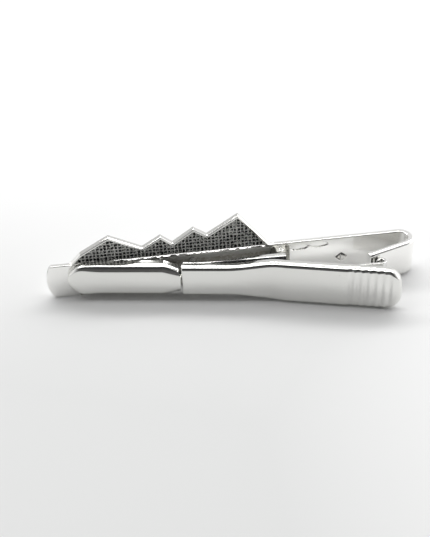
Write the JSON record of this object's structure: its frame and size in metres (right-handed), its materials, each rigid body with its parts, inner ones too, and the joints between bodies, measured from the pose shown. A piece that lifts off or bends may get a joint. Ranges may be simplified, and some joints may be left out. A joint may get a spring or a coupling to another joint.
{
  "type": "tie clip",
  "caption": "Polished silver tie clip: a bar with a mountain-skyline crest, bent into a spring bow at one end, and a hinged thumb lever whose boat-shaped jaw grips the bar's back.",
  "frame": {"origin": "middle of the bar's lower long edge, half way along the clip and half way through the strip", "axes": "+X along the bar from its rounded end to the spring bow, +Y out of the decorated front, +Z across the bar towards the crest"},
  "size_m": [0.058, 0.0132, 0.0121],
  "materials": {
    "polished_silver": "polished silver plate, oxidised dark in the crest's hollow back"
  },
  "bodies": {
    "bar": {"front_bar": "polished_silver", "spring_bow": "polished_silver", "crest": "polished_silver", "pivot_bracket": "polished_silver", "pivot_pin": "polished_silver"},
    "lever": {"jaw": "polished_silver", "thumb_lever": "polished_silver", "strap_tongue": "polished_silver", "leaf_rivets": "polished_silver"},
    "strap": {"return_strap": "polished_silver"}
  },
  "joints": [
    {"name": "lever_hinge", "type": "hinge", "parent": "bar", "child": "lever", "pos_m": [0.0078, -0.00185, 0.0036], "axis": [0, 0, 1], "range_deg": [0, 8], "stiffness_Nm_per_rad": 0.1, "springref_deg": -5.73},
    {"name": "strap_flex", "type": "hinge", "parent": "bar", "child": "strap", "pos_m": [0.02675, -0.00175, 0.003], "axis": [0, 0, 1], "range_deg": [-26, 0]}
  ],
  "couplings": [
    {"joint": "strap_flex", "follows": "lever_hinge", "ratio": -3.25}
  ]
}
